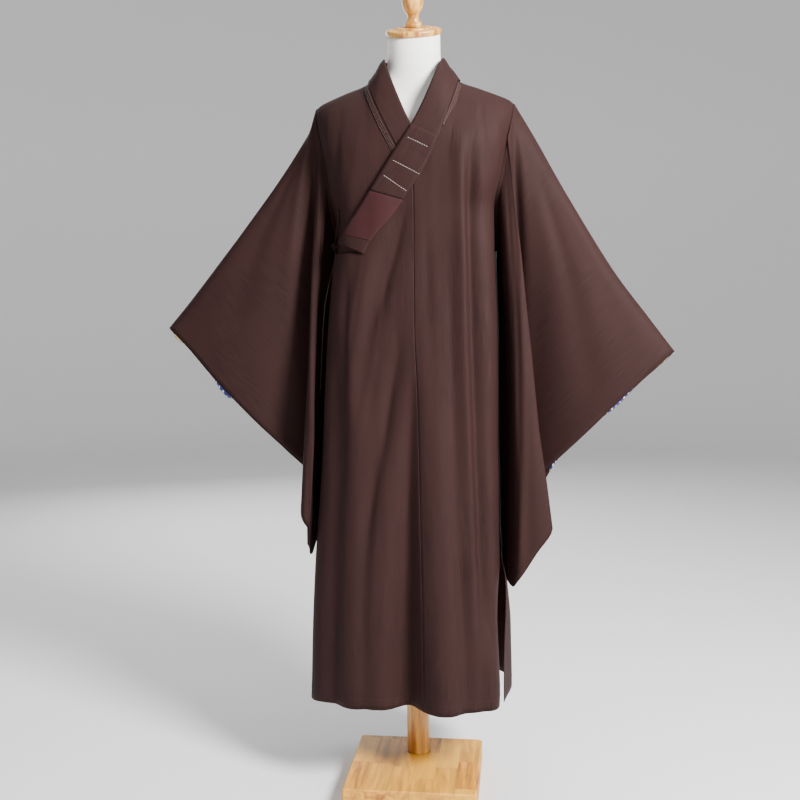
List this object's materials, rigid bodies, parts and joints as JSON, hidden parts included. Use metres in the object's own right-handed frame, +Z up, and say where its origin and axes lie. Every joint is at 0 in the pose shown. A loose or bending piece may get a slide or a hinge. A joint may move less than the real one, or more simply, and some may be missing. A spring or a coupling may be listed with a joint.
{
  "type": "buddhist monk robe on a dress form stand",
  "caption": "Long wrapped monk's robe with wide hanging sleeves and a crossed collar, worn by a limbless dress form on a wooden pole and square base.",
  "frame": {"origin": "middle of the base's underside, on the floor", "axes": "+Z up along the pole; the robe's front faces -Y; +X is the wearer's left"},
  "size_m": [1.101, 0.3777, 1.7065],
  "materials": {
    "robe_cloth": "matt brown woven cloth",
    "collar_facing": "matt redder brown woven cloth",
    "form_linen": "white stretched linen",
    "turned_wood": "satin varnish",
    "base_wood": "satin varnish"
  },
  "bodies": {
    "root": {"front_left_panel": "robe_cloth", "front_overlap_panel": "robe_cloth", "front_right_panel": "robe_cloth", "back_left_panel": "robe_cloth", "back_right_panel": "robe_cloth", "sleeve_left": "robe_cloth", "sleeve_right": "robe_cloth", "collar_band": "robe_cloth", "collar_folds_left": "robe_cloth", "collar_folds_right": "robe_cloth", "collar_patch": "robe_cloth", "collar_lower_facing": "collar_facing", "collar_end_tab": "robe_cloth", "tie_strap": "robe_cloth", "tie_knot": "robe_cloth", "tie_tail": "robe_cloth", "dress_form": "form_linen", "neck_cap": "turned_wood", "finial": "turned_wood", "stand_pole": "turned_wood", "stand_base": "base_wood"}
  },
  "joints": []
}
